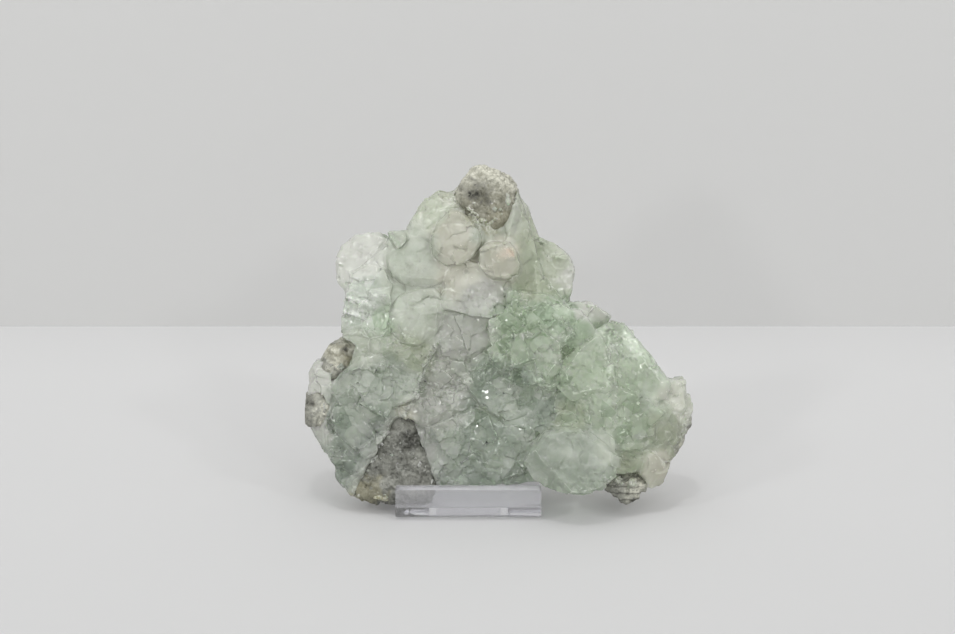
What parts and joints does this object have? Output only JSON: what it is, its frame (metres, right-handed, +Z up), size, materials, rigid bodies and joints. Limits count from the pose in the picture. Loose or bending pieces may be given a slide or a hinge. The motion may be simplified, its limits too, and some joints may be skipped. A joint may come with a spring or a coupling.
{
  "type": "fluorite specimen on stand",
  "caption": "Pale green fluorite crystal cluster on grey host rock, leaning on a small clear acrylic easel with a low front lip.",
  "frame": {"origin": "centre of the bounding box in plan, on the table", "axes": "+Z up, -Y towards the viewer of the crystals' face, +X to that viewer's right"},
  "size_m": [0.102, 0.0504, 0.089],
  "materials": {
    "fluorite": "pale green, partly frosted",
    "host_rock": "rough, granular",
    "clear_acrylic": "clear, polished"
  },
  "bodies": {
    "root": {"fluorite_crystals": "fluorite", "matrix_rock": "host_rock", "acrylic_stand": "clear_acrylic"}
  },
  "joints": []
}
